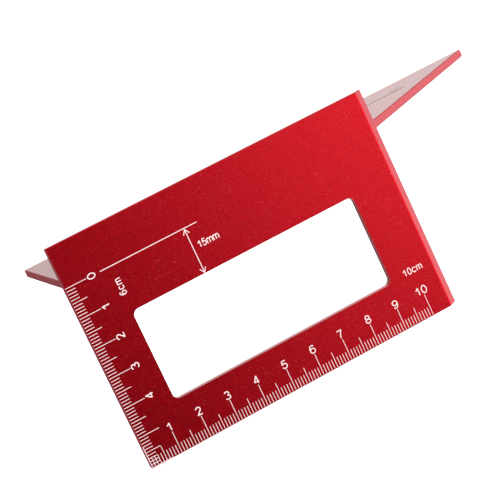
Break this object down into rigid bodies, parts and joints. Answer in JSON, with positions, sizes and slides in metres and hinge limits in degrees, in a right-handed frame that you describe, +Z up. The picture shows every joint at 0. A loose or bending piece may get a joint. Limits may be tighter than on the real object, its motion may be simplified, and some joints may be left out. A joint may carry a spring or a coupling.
{
  "type": "mitre marking square",
  "caption": "Fixed 45/90 degree carpenter's marking square: upright scale plate with a window, level fence on its back, one end square and one mitred.",
  "frame": {"origin": "zero of both scales, on the line where the back of the plate meets the underside of the fence, where the corner of the workpiece sits", "axes": "+X along the plate from the square end towards the mitred end, +Y from the back of the plate out along the fence, +Z up, the fence level and the plate upright"},
  "size_m": [0.1698, 0.063, 0.0735],
  "materials": {
    "red_anodised": "fine blasted aluminium, anodised red",
    "white_fill": "matte white paint filling",
    "grey_fill": "matte grey paint filling"
  },
  "bodies": {
    "root": {"scale_plate": "red_anodised", "fence": "red_anodised", "corner_grid": "white_fill", "length_scale_marks": "white_fill", "length_scale_numerals": "white_fill", "depth_scale_marks": "white_fill", "depth_scale_numerals": "white_fill", "zero_line": "white_fill", "window_offset_arrow": "white_fill", "window_offset_label": "white_fill", "depth_range_label": "white_fill", "length_range_label": "white_fill", "fence_guide_line": "grey_fill", "mitre_end_label": "grey_fill", "square_end_label": "grey_fill"}
  },
  "joints": []
}
